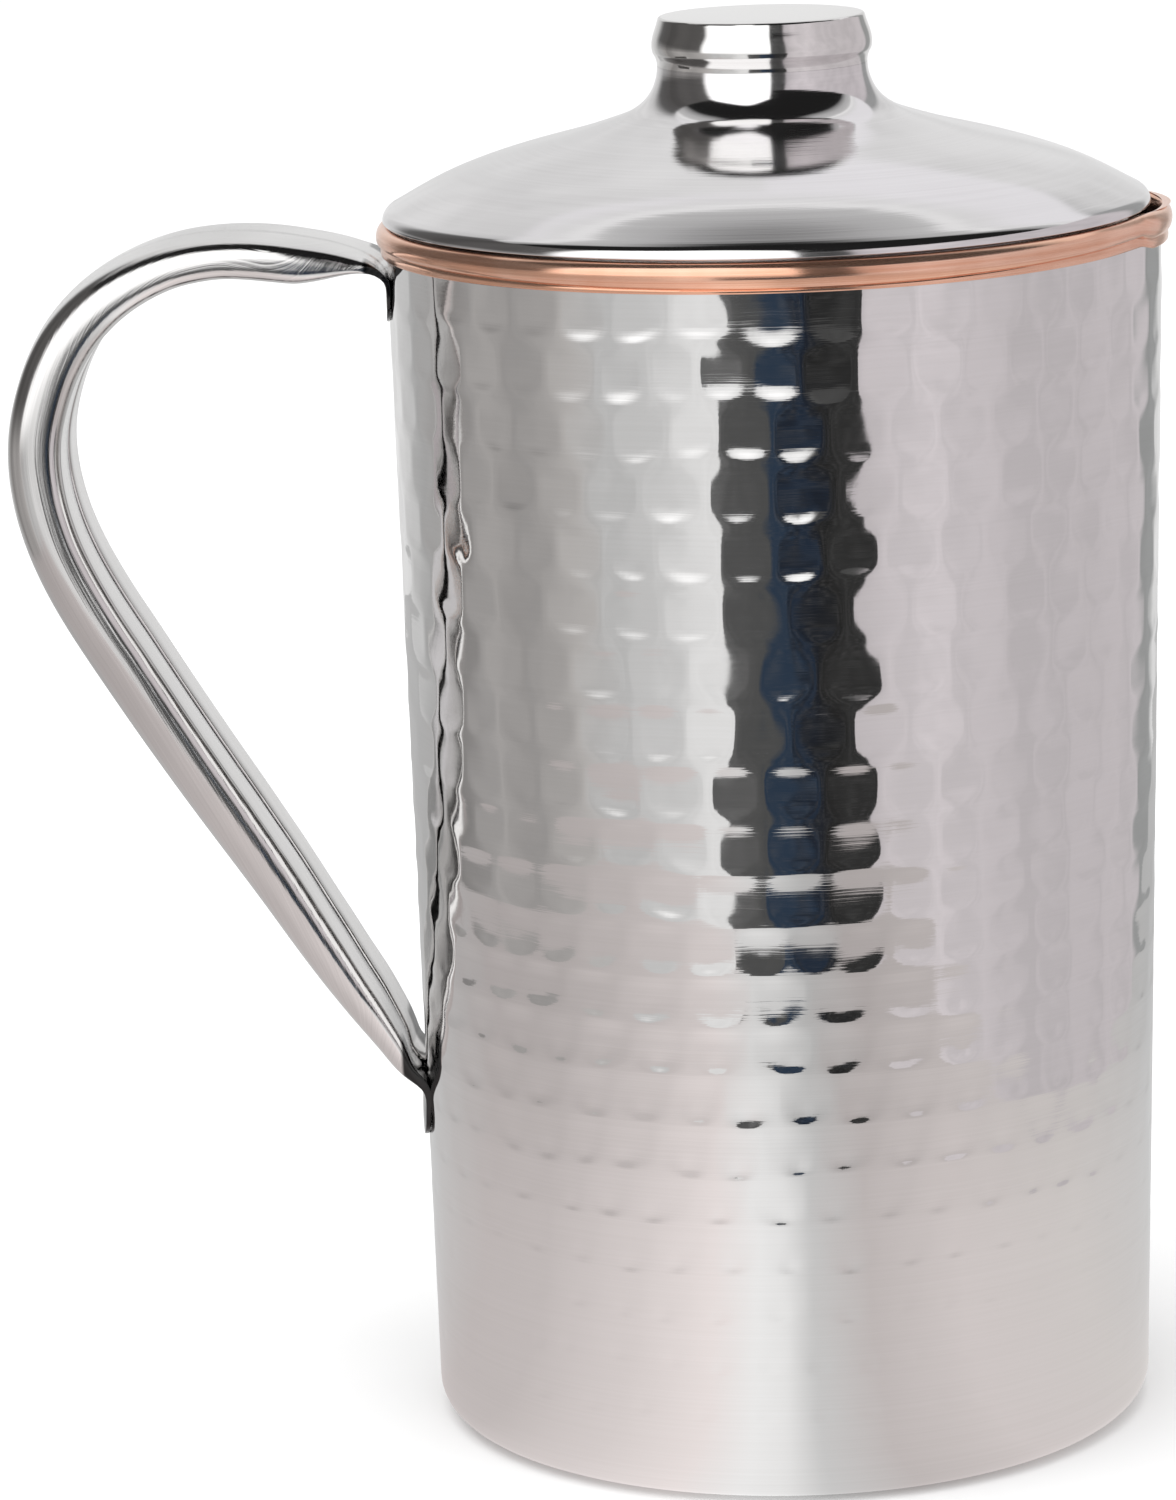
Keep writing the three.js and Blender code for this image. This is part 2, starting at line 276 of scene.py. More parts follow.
def metal(name, colour, dark, roughness, spread, streak, bump, along="round", cloud_scale=35.0,
          anisotropic=0.0, metallic=1.0, tongue_shade=None):
    """Polished or brushed metal. Its tint goes from dark to colour, and its roughness is spread
    to both sides. streak is the fineness of the polishing lines per metre, and along says which
    way they run: "round" the axis, or along the piece's own "uv". The last argument paints
    shade: it darkens the edges of a welded strip nearly to black, from the first x to the
    second, with the lean of the jug's wall taken out."""
    mat = bpy.data.materials.new(name)
    mat.use_nodes = True
    n = Nodes(mat.node_tree)
    place = n.coords("Object")
    x, y, z = n.xyz(place)
    if along == "round":
        across = n.add(n.radius(x, y), z)
        lines = n.vector(n.times(x, 12.0), n.times(y, 12.0), n.times(across, streak))
    else:
        u, v, _ = n.xyz(n.coords("UV"))
        lines = n.vector(n.times(u, streak), n.times(v, 20.0), 0.0)
    fine = n.noise(lines, 1.0, 3.0, 0.6)
    cloud = n.noise(place, cloud_scale, 3.0, 0.55)
    both = n.add(n.times(fine, 0.5), n.times(cloud, 0.5))
    base = n.mix(n.step(both, CLOUD_LO, CLOUD_HI), dark, colour)
    # painted shade: near black on the edges of the handle's tongues, close to the jacket
    if tongue_shade:
        edge = n.step(n.math("ABSOLUTE", y), *TONGUE_SHADE_EDGE)
        close = n.step(n.add(x, n.times(z, WALL_SLOPE)), *tongue_shade)
        base = n.mix(n.times(close, edge), base, TONGUE_SHADE_TINT)
    rough = n.step(both, CLOUD_LO, CLOUD_HI, roughness - spread, roughness + spread)
    relief = n.make("ShaderNodeBump", {"Strength": bump, "Distance": 0.0001, "Height": fine})
    inputs = {"Base Color": base, "Metallic": metallic, "Roughness": rough,
              "Normal": relief.outputs[0]}
    if anisotropic:
        tangent = n.make("ShaderNodeTangent", direction_type="RADIAL", axis="Z")
        inputs["Anisotropic"] = anisotropic
        inputs["Tangent"] = tangent.outputs[0]
    shader = n.make("ShaderNodeBsdfPrincipled", inputs)
    n.make("ShaderNodeOutputMaterial", {0: shader.outputs[0]})
    return mat


HAMMERED = metal("hammered_steel", grey(0.80, (1, 0.99, 0.985)), grey(0.77, (1, 0.99, 0.98)),
                 roughness=0.045, spread=0.015, streak=2600.0, bump=0.055)
LID_STEEL = metal("spun_steel", grey(0.82, (1, 0.985, 0.99)), grey(0.76, (1, 0.98, 0.985)),
                  roughness=0.085, spread=0.03, streak=3200.0, bump=0.10, anisotropic=0.45)
KNOB_STEEL = metal("polished_steel", grey(0.82, (1, 0.99, 0.98)), grey(0.78, (1, 0.985, 0.97)),
                   roughness=0.085, spread=0.02, streak=2600.0, bump=0.05)
# the last pair of numbers places the painted shade on the handle's tongues, next to the jacket
HANDLE_STEEL = metal("brushed_steel", grey(0.80, (1, 0.985, 0.975)),
                     grey(0.68, (1, 0.985, 0.975)), roughness=0.125, spread=0.05,
                     streak=2600.0, bump=0.25, along="uv", tongue_shade=(-0.0563, -0.0557))
INNER_STEEL = metal("inner_steel", grey(0.74, (1, 0.99, 0.98)), grey(0.66, (1, 0.985, 0.975)),
                    roughness=0.22, spread=0.05, streak=2600.0, bump=0.3)
COPPER = metal("copper", (0.97, 0.64, 0.49, 1), (0.78, 0.40, 0.26, 1), roughness=0.15,
               spread=0.05, streak=2400.0, bump=0.35, cloud_scale=60.0, metallic=0.94)

# ---------------------------------------------------------------- hammered jacket
COLUMNS = 408
# the lines between rows of prints: the first, the last possible, and the pitch above and below
# the height where it changes
ROW_TOP, ROW_END = 174.6, 11.0
ROW_PITCH_HIGH, ROW_PITCH_LOW, ROW_CHANGE_Z = 8.35, 7.3, 100.0
# between these heights the prints change from the lower kind, each with a pocket, to the upper
LOW_Z, MIDDLE_Z = 62, 98
FADE_Z, FADE_LEAST = (12, 92), 0.10        # the prints fade to this towards the base
PRINTS_IN_ROW = (39, 45)                   # the second is one more than the most
PRINT_WIDTH = (0.86, 1.14)                 # of the average
PRINT_DEPTH = (0.095, 0.155)
POCKET_DEPTH, POCKET_LOW = (-0.030, 0.036), 0.068
PRINT_TILT = 0.06
PRINT_REACH = (0.91, 1.0)                  # where a print's lower edge is, of the row's pitch
PRINT_SKEW = 0.3
PRINT_STEEP = (0.21, 0.33)                 # how much of the pitch the rise to that edge takes
LINE_WAVE, WALL_WAVE = 0.28, 0.05          # how uneven the rows' lines and the wall are
# where a print has points, from the top of its row (0) to the bottom (1)
LEVELS_HIGH = (0, .06, .14, .26, .44, .60, .72, .81, .88, .93, .97)
LEVELS_MIDDLE = (0, .08, .20, .38, .56, .70, .80, .87, .93, .975)
LEVELS_LOW = (0, .18, .42, .62, .78, .87, .93, .975)


def row_heights():
    """Heights of the lines between rows of hammer prints, from the rim down."""
    z, rows = ROW_TOP, [ROW_TOP]
    while True:
        z -= ROW_PITCH_HIGH if z > ROW_CHANGE_Z else ROW_PITCH_LOW
        if z < ROW_END:
            return rows
        rows.append(z)


def ripple(phi, size, low, high):
    """A smooth random wave round the jug."""
    total = np.zeros_like(phi)
    for m in range(low, high):
        total += rng.normal() * np.cos(m * phi + rng.uniform(0, TURN))
    return size * total / math.sqrt(high - low)


def row_of_prints(phi, z_mid):
    """One row of hammer prints, of uneven widths that close up round the jug. Returns dent(v),
    how far the wall is knocked in at v, 0 to 1 from the row's top to its bottom."""
    fade = FADE_LEAST + (1 - FADE_LEAST) * smooth(*FADE_Z, z_mid)
    low_row = 1 - smooth(LOW_Z, MIDDLE_Z, z_mid)
    count = int(rng.integers(*PRINTS_IN_ROW))
    width = rng.uniform(*PRINT_WIDTH, count)
    edges = np.concatenate([[0], np.cumsum(width)]) / width.sum() * TURN + rng.uniform(0, TURN)
    depth = rng.uniform(*PRINT_DEPTH, count) * fade
    pocket = np.maximum(rng.uniform(*POCKET_DEPTH, count), POCKET_LOW * low_row)
    tilt = rng.uniform(-PRINT_TILT, PRINT_TILT, count) * fade
    reach = rng.uniform(*PRINT_REACH, count)
    skew = rng.uniform(-PRINT_SKEW, PRINT_SKEW, count)
    steep = rng.uniform(*PRINT_STEEP, count)
    # which print each column is in, and where: u goes from -1 to 1 across it
    turn, marks = np.mod(phi - edges[0], TURN), edges - edges[0]
    cell = np.clip(np.searchsorted(marks, turn, side="right") - 1, 0, count - 1)
    lo, hi = marks[cell], marks[cell + 1]
    u = 2 * (turn - lo) / (hi - lo) - 1
    side = 1 - np.abs(u) ** 2.2
    off = np.abs(u - skew[cell])
    low_edge = reach[cell] * (1 - 0.11 * off ** 2.5)
    fold = steep[cell] + 0.05 * np.minimum(off, 1) ** 1.5
    middle = np.exp(-(off / 0.30) ** 2)

    def dent(v):
        t = v / low_edge
        body = smooth(0, 0.28, v) * (0.85 + 0.15 * v)
        lip = 1 - smooth(0, 1, (v - low_edge + fold) / fold)
        dip = smooth(0.55, 0.90, t) * (1 - smooth(0.915, 1.0, t))
        lean = tilt[cell] * (v - 0.5) * v * (1 - v) * 10
        return side * (lip * (depth[cell] * body + lean) + pocket[cell] * middle * dip)

    return dent


def hammered_wall(phi):
    """The jacket's outer wall as rings of (radii, heights), from the rim down."""
    rows = row_heights()
    lines = [np.full(COLUMNS, rows[0])] + [z + ripple(phi, LINE_WAVE, 3, 14) for z in rows[1:]]
    level_z, level_r = [], []
    for k, (top, low) in enumerate(zip(lines, lines[1:])):
        z_mid = (rows[k] + rows[k + 1]) / 2
        dent = row_of_prints(phi, z_mid)
        levels = LEVELS_HIGH if z_mid > MIDDLE_Z else LEVELS_MIDDLE if z_mid > LOW_Z else LEVELS_LOW
        for v in levels:
            z = top + (low - top) * v
            level_z.append(z)
            level_r.append(wall_r(z) - dent(v))
    level_z.append(lines[-1])
    level_r.append(wall_r(lines[-1]))
    level_z, level_r = np.array(level_z), np.array(level_r)
    # the wall's own wave leaves out the bottom corner and the rim
    wave = ripple(phi, WALL_WAVE, 2, 7)
    level_r += wave[None, :] * smooth(6, 40, level_z) * (1 - smooth(165, 174, level_z))
    return list(zip(level_r, level_z))


def jacket():
    phi = np.arange(COLUMNS) * TURN / COLUMNS - np.pi
    corner = wall_r(CORNER_R) - CORNER_R

    def plain(points):
        return [(np.full(COLUMNS, float(r)), np.full(COLUMNS, float(z))) for r, z in points]

    outside = plain([(JACKET_TOP_R - SHEET, JACKET_TOP_Z), (JACKET_TOP_R, JACKET_TOP_Z)])
    outside += hammered_wall(phi)
    outside += plain([(wall_r(9), 9), (wall_r(6.5), 6.5)])
    outside += plain(arc(corner, CORNER_R, CORNER_R, 0, -90, 9) + [(44, 0), (30, 0), (14, 0)])
    inside = plain([(14, SHEET), (30, SHEET)])
    inside += plain(arc(corner, CORNER_R, CORNER_R - SHEET, -90, 0, 3) + [(wall_r(90) - SHEET, 90)])
    verts, quads, tris = [], [], []

    def add(rings):
        """Adds the points of the rings, and returns where each ring starts."""
        starts = []
        for r, z in rings:
            rr = np.where(r > FLOOR_R, r + lip_draw(phi, z), r)
            starts.append(len(verts))
            verts.extend(zip(rr * np.cos(phi), rr * np.sin(phi), z))
        return starts

    def centre(z):
        verts.append((0, 0, z))
        return np.full(COLUMNS, len(verts) - 1)

    starts_out, middle_out = add(outside), centre(0)
    starts_in, middle_in = add(inside), centre(SHEET)
    i = np.arange(COLUMNS)
    j = (i + 1) % COLUMNS

    def join(rings):
        for a, b in zip(rings, rings[1:]):
            quads.extend(np.stack([a + i, a + j, b + j, b + i], 1).tolist())

    join(starts_out)
    tris.extend(np.stack([starts_out[-1] + i, starts_out[-1] + j, middle_out], 1).tolist())
    tris.extend(np.stack([middle_in, starts_in[0] + j, starts_in[0] + i], 1).tolist())
    join(starts_in + starts_out[:1])
    return build("hammered_jacket", verts, quads, tris, 0)


# ---------------------------------------------------------------- copper liner
CREASE_DEG = 19.5                # half width of the lip's turned-down face
SKIRT_R, SKIRT_Z = 54.9, 173.4   # the rolled rim's outer face is outside and above these
THROAT_Z = (168, 176)            # over these the inner side is drawn out more, for a thin bead


def liner_profile():
    out, inn = SHEET + GAP, 2 * SHEET + GAP    # from the jacket's outside to the liner's two sides
    corner = wall_r(CORNER_R) - CORNER_R
    points = [(0, out), (25, out)] + arc(corner, CORNER_R, CORNER_R - out, -90, 0, 5)
    points += [(float(wall_r(z)) - out, z) for z in (20, 40, 60, 80, 100, 120, 140, 155, 165)]
    points += [(54.1, 172), (54.1, 175.5), (54.3, 175.7), (55.2, 175.7), (55.3, 175.6),
               (55.3, 173.85)]
    points += arc(55.54, 173.85, 0.24, 180, 360, 6)
    points += [(55.80, 174.15), (55.79, 174.4), (55.70, 174.6), (55.66, 174.68)]
    points += curve([(55.70, 174.74), (56.02, 174.98), (56.32, 175.5), (56.40, 176.2),
                     (56.26, 176.9), (55.85, 177.52), (55.15, 177.9), (54.45, 177.86),
                     (53.85, 177.45), (53.55, 176.7), (53.46, 175.6), (53.47, 174.0)], 0.16)
    points += [(float(wall_r(z)) - inn, z)
               for z in (170, 162, 150, 135, 120, 105, 90, 75, 60, 45, 30, 16, 8)]
    points += arc(corner, CORNER_R, CORNER_R - inn, 0, -90, 8)
    points += [(r, out + SHEET) for r in (40, 25, 12, 0)]
    return points


def liner_bend(phi, r, z):
    """Draws the wall out to the pouring lip, pinches the rim there, and lets the crease under
    the bead run a little higher at the lip's and the handle's side than at front and back."""
    if r[0] <= FLOOR_R:
        return r, z
    phi = (phi + np.pi) % TURN - np.pi
    deg = np.abs(np.degrees(phi))
    draw = lip_draw(phi, z)
    outer = r[0] > SKIRT_R and z[0] > SKIRT_Z
    if outer:
        inside = deg < CREASE_DEG
        crisp = np.where(inside, 0.3 + 1.8 * np.clip(1 - (deg / CREASE_DEG) ** 2, 0, 1) ** 0.8,
                         0.3 * np.clip(1 - (deg - CREASE_DEG) / 8, 0, 1) ** 2)
        draw = np.maximum(draw, crisp)
        # the lip's turned-down face reaches lower, and is dished beside each crease
        low = 1 - smooth(173.6, 176.4, z)
        down = np.where(inside, smooth(CREASE_DEG, CREASE_DEG - 5, deg), 0)
        z = z - 0.75 * low * down
        dish = (np.exp(-((deg - (CREASE_DEG - 3.0)) / 2.0) ** 2)
                * np.exp(-((z - 175.6) / 1.2) ** 2))
        r = r - 0.12 * dish
    if r[0] <= SKIRT_R and z[0] > THROAT_Z[0]:
        draw = draw + 1.4 * np.clip(1 - (deg / 17.0) ** 2, 0, 1) * smooth(*THROAT_Z, z)
    if outer and z[0] < 176.0:
        lift = 0.45 * np.cos(2 * phi)
        z = z + lift * np.exp(-((z - 174.68) / 0.45) ** 2) * (deg > CREASE_DEG)
    return r + draw, z


# ---------------------------------------------------------------- lid, knob and ring
def lid_profile():
    dome = curve([(15.13, 199.30), (15.22, 198.2), (15.62, 196.7), (16.45, 195.1), (17.7, 193.75),
                  (19.5, 192.6), (22, 191.65), (27, 190.1), (34, 188.3), (41, 186.25),
                  (47.5, 183.75), (52.3, 181.25), (53.35, 180.66)], 0.45)
    edge = arc(53.45, 178.40, 1.95, 56, 0, 12)
    curl = arc(55.25, 178.40, 0.15, 0, -90, 3) + [(54.6, 178.25)]
    curl += arc(53.7, 178.55, 0.3, -90, -180, 3)
    under = [(53.35, 179.2), (52.4, 180.35)]
    under += [(r - 0.25, z - 0.7) for r, z in (
        (50, 182.55), (47.5, 183.75), (44, 185.2), (41, 186.25), (37, 187.45), (34, 188.3),
        (30, 189.3), (27, 190.05), (22, 191.5), (19.4, 192.5))]
    under += [(17.1, 193.2), (15.75, 194.75), (14.85, 196.5), (14.5, 198.2), (14.4, 199.0)]
    spigot = [(14.15, 199.1), (13.46, 199.1), (13.46, 201.6), (14.1, 201.6), (14.15, 199.6),
              (14.3, 199.3), (14.9, 199.36)]
    return dome + edge + curl + under + spigot


def knob_profile():
    top = [(0, 206.40), (4, 206.40), (8, 206.39), (11, 206.37), (13.2, 206.33)]
    top += arc(14.42, 205.80, 0.50, 90, 16, 6)
    shoulder = curve([(14.93, 205.8), (15.18, 205.0), (15.46, 204.2), (15.70, 203.4),
                      (15.84, 202.6), (15.86, 201.9), (15.76, 201.3)], 0.25)
    waist = curve([(15.66, 201.05), (15.40, 200.6), (15.22, 200.05), (15.14, 199.6),
                   (15.13, 199.32)], 0.2)
    inner = [(14.5, 199.40), (14.7, 201.0), (14.95, 202.3), (14.5, 203.8), (13.9, 205.1),
             (12.8, 205.6), (6, 205.7), (0, 205.7)]
    return top + shoulder + waist + inner


def ring_profile():
    outer = [(51.75, 169.55)] + arc(51.95, 169.75, 0.25, -90, 0, 4)
    outer += [(52.2, 171), (52.2, 175), (52.2, 178.8)]
    flange = curve([(52.15, 179.1), (51.8, 179.7), (51.2, 180.3), (49.6, 181.3), (48.2, 182.0)],
                   0.5)
    inner = [(48.0, 181.2), (49.4, 180.6), (50.8, 179.8), (51.35, 179.2), (51.4, 178), (51.4, 174),
             (51.4, 170)]
    return outer + flange + inner


# ---------------------------------------------------------------- handle
HANDLE_T, HANDLE_W, HANDLE_LIP = 1.0, 25.0, 11.4
HANDLE_TIP = 4.5                             # length of each tongue's rounded end
HANDLE_TAPER = 26.0                          # over this length from each end it widens
END_WIDTH, END_WIDENS = 0.80, 0.20           # from END_WIDTH of its width by END_WIDENS
EDGE_R_LEAST = 0.10                          # of the channel's corners, where it is flat


def wall(z):
    return float(wall_r(z))


HANDLE_LINE = [  # distance from the axis, height, channel depth, how far it follows the jacket
    (wall(163) + 0.06, 163.4, .30, .97), (wall(168) + 0.06, 168.2, .55, .97),
    (wall(170) + 0.10, 170.4, .75, .9), (56.4, 172.4, 1.0, .6), (59.2, 174.1, 2.6, .3),
    (62.6, 175.25, 4.4, .2), (66.6, 176.15, 5.8, .1), (71.5, 176.95, 5.9, 0),
    (78.5, 177.3, 5.7, 0), (86.0, 176.5, 6.1, 0), (93.5, 174.0, 6.9, 0), (100.2, 169.8, 7.7, 0),
    (105.3, 164.2, 8.2, 0), (108.8, 157.0, 8.3, 0), (110.7, 149.0, 8.3, 0),
    (110.6, 140.5, 8.4, 0), (108.6, 131.8, 8.5, 0), (104.8, 122.8, 8.7, 0),
    (99.2, 113.0, 8.8, 0), (91.9, 101.4, 8.5, 0), (84.3, 90.0, 8.1, 0), (76.8, 79.1, 7.4, 0),
    (69.6, 68.4, 6.5, .05), (63.6, 60.4, 5.3, .15), (59.3, 54.9, 3.7, .3), (57.1, 52.3, 2.3, .6),
    (wall(50) + .92, 50.0, 1.1, .85), (wall(47) + .72, 47.2, .68, .95),
    (wall(43) + .70, 41.6, .65, .97),
]


def handle_section(depth, half, from_top):
    """Outline of the channel at one station, as (across, inward): the outside from the middle of
    the crown round to the rolled edge and back along the inside, then mirrored for the other
    side. half is half the width, and from_top is how far along the handle the station is."""
    # the corners grow with the channel's depth, and the crown's also along the handle
    full = float(smooth(0.8, 2.6, depth))
    largest = 1.9 + 2.4 * float(smooth(16, 62, from_top)) + 1.2 * float(smooth(85, 120, from_top))
    crown_r = EDGE_R_LEAST + full * (min(largest, 0.62 * depth) - EDGE_R_LEAST)
    lip_r = EDGE_R_LEAST + full * (min(2.2, 0.30 * depth) - EDGE_R_LEAST)
    lip = min(HANDLE_LIP * (1 - 0.97 * (1 - float(smooth(0.85, 1.6, depth)))), 0.86 * half)
    thick = min(HANDLE_T, depth * 0.5)
    crown = min(0.35, 0.06 * depth)

    def side(inset):
        """Crown, upper corner, side wall, lower corner and lip, this far in from the outside."""
        r1, r2 = max(crown_r - inset, 0.06), max(lip_r - inset, 0.05)
        y0, y1 = crown + crown_r, depth - lip_r
        pts = [(f * (half - crown_r), inset + crown * f * f) for f in (0, .2, .4, .6, .8)]
        pts += [(half - inset - r1 + r1 * math.sin(a), crown + inset + r1 * (1 - math.cos(a)))
                for a in np.linspace(0, math.pi / 2, 10)]
        pts += [(half - inset, y0 + (y1 - y0) * f) for f in (.35, .7)]
        pts += [(half - inset - r2 + r2 * math.cos(a), depth - inset - r2 + r2 * math.sin(a))
                for a in np.linspace(0, math.pi / 2, 8)]
        start, end = half - inset - r2, half - max(lip, lip_r + 0.15)
        pts += [(start + (end - start) * f, depth - inset) for f in (.3, .65, 1.0)]
        return pts

    outer, inner = side(0.0), side(thick)
    edge_x, low, high = outer[-1][0], outer[-1][1], inner[-1][1]
    mid, rad = (low + high) / 2, (low - high) / 2
    edge = [(edge_x - rad * math.cos(a), mid + rad * math.sin(a))
            for a in np.linspace(math.pi / 2, -math.pi / 2, 7)[1:-1]]
    outline = outer + edge + inner[::-1]
    return outline + [(-a, b) for a, b in outline[1:-1]][::-1]


def handle():
    line = np.array(HANDLE_LINE)
    path = spline(line[:, :2], 0.9)
    marks = lengths(line[:, :2])
    at = np.linspace(0, marks[-1], len(path))
    depth = np.interp(at, marks, line[:, 2])
    for _ in range(3):
        depth[1:-1] = (depth[:-2] + 2 * depth[1:-1] + depth[2:]) / 4
    wrap = np.interp(at, marks, line[:, 3])
    along = np.gradient(path, axis=0)
    along /= np.linalg.norm(along, axis=1)[:, None]
    from_top = lengths(path)
    verts, uvs = [], []
    for k, (away, height) in enumerate(path):
        from_end = min(from_top[k], from_top[-1] - from_top[k])
        tip = min(1.0, from_end / HANDLE_TIP)
        width = END_WIDTH + END_WIDENS * float(smooth(0, 1, from_end / HANDLE_TAPER))
        half = HANDLE_W / 2 * width * math.sqrt(max(1 - (1 - tip) ** 2, 0.004))
        outline = handle_section(float(depth[k]), max(half, 0.9), float(from_top[k]))
        inward_s, inward_z = along[k][1], -along[k][0]
        w = wall(height)
        run, last = 0.0, outline[0]
        for a, i in outline:
            bend = w - math.sqrt(w * w - a * a)
            verts.append((-(away + inward_s * i - wrap[k] * bend), a, height + inward_z * i))
            run += math.hypot(a - last[0], i - last[1])
            last = (a, i)
            uvs.append((run * MM, from_top[k] * MM))
    count = len(outline)
    quads, tris = [], []
    for k in range(len(path) - 1):
        for m in range(count):
            a, b = k * count + m, k * count + (m + 1) % count
            quads.append((a, b, b + count, a + count))
    for start in (0, (len(path) - 1) * count):
        middle = len(verts)
        verts.append(tuple(np.mean(verts[start:start + count], axis=0)))
        uvs.append(uvs[start])
        for m in range(count):
            a, b = start + m, start + (m + 1) % count
            tris.append((middle, b, a) if start == 0 else (middle, a, b))
    obj = build("channel_handle", verts, quads, tris, 50)
    layer = obj.data.uv_layers.new(name="along")
    index = np.zeros(len(obj.data.loops), np.int32)
    obj.data.loops.foreach_get("vertex_index", index)
    layer.data.foreach_set("uv", np.array(uvs, np.float32)[index].ravel())
    return obj


# ---------------------------------------------------------------- assembly
PIECES = [  # piece, body, the CAD node it replaces, slot, material
    (jacket(), "jug", "steel_jacket", "hammered_steel", HAMMERED),
    (revolve("copper_liner_rim", liner_profile(), 360, 40, liner_bend),
     "jug", "copper_liner", "copper", COPPER),
    (handle(), "jug", "handle", "handle_steel", HANDLE_STEEL),
    (revolve("spun_lid", lid_profile(), 256, 40), "lid", "lid_dome", "lid_steel", LID_STEEL),
    (revolve("knob_cap", knob_profile(), 192, 12), "lid", "lid_knob", "knob_steel", KNOB_STEEL),
    (revolve("centring_ring", ring_profile(), 192, 40),
     "lid", "lid_locating_ring", "inner_steel", INNER_STEEL),
]
for piece, body, node, slot, material in PIECES:
    piece.data.materials.append(material)
    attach(piece, body)
    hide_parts(node)

# ---------------------------------------------------------------- floor and what the metal mirrors
WARM, LILAC, COOL, PINK = (1, 0.965, 0.945), (1, 0.935, 0.965), (0.985, 1, 1), (1, 0.925, 0.915)
TABLE_FADE = (0.13, 0.33, 1.0, 0.78)    # from 1.0 at 0.13 m from the axis to 0.78 at 0.33 m
# the next colours are at degrees of azimuth, 0 towards the camera and positive towards the lip
TABLE_STOPS = [
    (-180, grey(0.70)), (-140, grey(0.64)), (-95, grey(0.64, PINK)), (-70, grey(0.67, PINK)),
    (-40, grey(0.84, PINK)), (-20, grey(1.02, PINK)), (-9, grey(1.05)), (-2, grey(0.98)),
    (5, grey(0.72)), (20, grey(0.66, PINK)), (45, grey(0.78, PINK)),
    (85, grey(0.76, (1, 0.95, 0.93))), (140, grey(0.66)), (180, grey(0.70)),
]
CARD_X, CARD_Z, CARD_Y = (-0.235, 0.44), (-0.6, 0.052), -0.88
CARD_NAVY, CARD_INK = (0.027, 0.046, 0.078, 1), (0.015, 0.019, 0.028, 1)
CARD_STOPS = [  # from the card's left to its right
    (0.0, grey(0.16)), (0.10, grey(0.10)), (0.27, grey(0.085, COOL)), (0.34, CARD_NAVY),
    (0.43, CARD_NAVY), (0.48, CARD_INK), (0.53, (0.020, 0.034, 0.060, 1)), (0.58, CARD_INK),
    (0.70, grey(0.02)), (0.82, grey(0.035)), (1.0, grey(0.03)),
]


def flat(name, corners, paint, **rays):
    """A plain flat sheet that belongs to the studio. paint(n) returns its shader, and rays says
    which kinds of ray don't see it."""
    mesh = bpy.data.meshes.new(name)
    mesh.from_pydata([Vector(c) for c in corners], [], [(0, 1, 2, 3)])
    obj = bpy.data.objects.new(name, mesh)
    bpy.context.scene.collection.objects.link(obj)
    mat = bpy.data.materials.new(name)
    mat.use_nodes = True
    mat.cycles.emission_sampling = "NONE"
    n = Nodes(mat.node_tree)
    n.make("ShaderNodeOutputMaterial", {0: paint(n)})
    mesh.materials.append(mat)
    for key, value in rays.items():
        setattr(obj, "visible_" + key, value)


def level_corners(z, x0, x1, y0, y1):
    return [(x0, y0, z), (x1, y0, z), (x1, y1, z), (x0, y1, z)]


def paint_floor(n):
    return n.make("ShaderNodeBsdfDiffuse", {"Color": grey(0.86)}).outputs[0]


def paint_table(n):
    """What the metal mirrors of the table: pale, brightest under the front left light."""
    x, y, _ = n.xyz(n.coords("Object"))
    colour = n.ramp_round(n.azimuth(x, y), TABLE_STOPS)
    strength = n.step(n.radius(x, y), *TABLE_FADE)
    return n.make("ShaderNodeEmission", {0: colour, 1: strength}).outputs[0]


def paint_card(n):
    """Dark clothing: grey at the left, then navy, black and dark grey, with folds and wear."""
    x, y, z = n.xyz(n.coords("Object"))
    folds = n.noise(n.vector(n.times(x, 26.0), 0.0, n.times(z, 11.0)), 1.0, 3.0, 0.6)
    place = n.make("ShaderNodeMapRange", {0: x, 1: -0.24, 2: 0.46}).outputs[0]
    place = n.add(place, n.times(n.minus(folds, 0.5), 0.30))
    worn = n.noise(n.vector(n.times(x, 34.0), 3.0, n.times(z, 40.0)), 1.0, 4.0, 0.65)
    wear = n.step(worn, 0.45, 0.72, 0.0, 0.45)
    colour = n.mix(wear, n.ramp(place, CARD_STOPS), grey(0.13))
    return n.make("ShaderNodeEmission", {0: colour}).outputs[0]


flat("floor", level_corners(-0.0002, -4, 4, -4, 4), paint_floor, glossy=False)
flat("table_top", level_corners(-0.0001, -0.355, 0.218, -0.35, 0.6), paint_table,
     camera=False, diffuse=False, shadow=False)
# low in front of the jug, where whoever holds the camera would stand
flat("dark_card", [(CARD_X[0], CARD_Y, CARD_Z[0]), (CARD_X[1], CARD_Y, CARD_Z[0]),
                   (CARD_X[1], CARD_Y, CARD_Z[1]), (CARD_X[0], CARD_Y, CARD_Z[1])],
     paint_card, camera=False, diffuse=False, shadow=False)

# ---------------------------------------------------------------- world and light
PANELS = [  # at degrees of azimuth, as on the table
    (-180, grey(0.86)), (-160, grey(0.84)), (-150, grey(0.70)), (-135, grey(0.50)),
    (-121, grey(0.37, WARM)), (-118, grey(0.27, WARM)), (-110, grey(0.31, WARM)),
    (-104, grey(0.42, WARM)), (-95, grey(0.45, WARM)), (-85, grey(0.38, WARM)),
    (-72, grey(0.44, WARM)), (-62, grey(0.55, WARM)), (-52, grey(0.64)), (-38, grey(0.67)),
    (-31, grey(0.82)), (-20, grey(0.92)), (8, grey(0.92)), (9.5, grey(0.08)), (24, grey(0.06)),
    (26, grey(0.62, LILAC)), (37, grey(0.75, LILAC)), (48, grey(0.81, LILAC)),
    (62, grey(0.71, LILAC)), (76, grey(0.66, LILAC)), (112, grey(0.64, LILAC)),
    (136, grey(0.67, LILAC)), (141, grey(0.37, COOL)), (152, grey(0.38, COOL)),
    (158, grey(0.80)), (180, grey(0.86)),
]
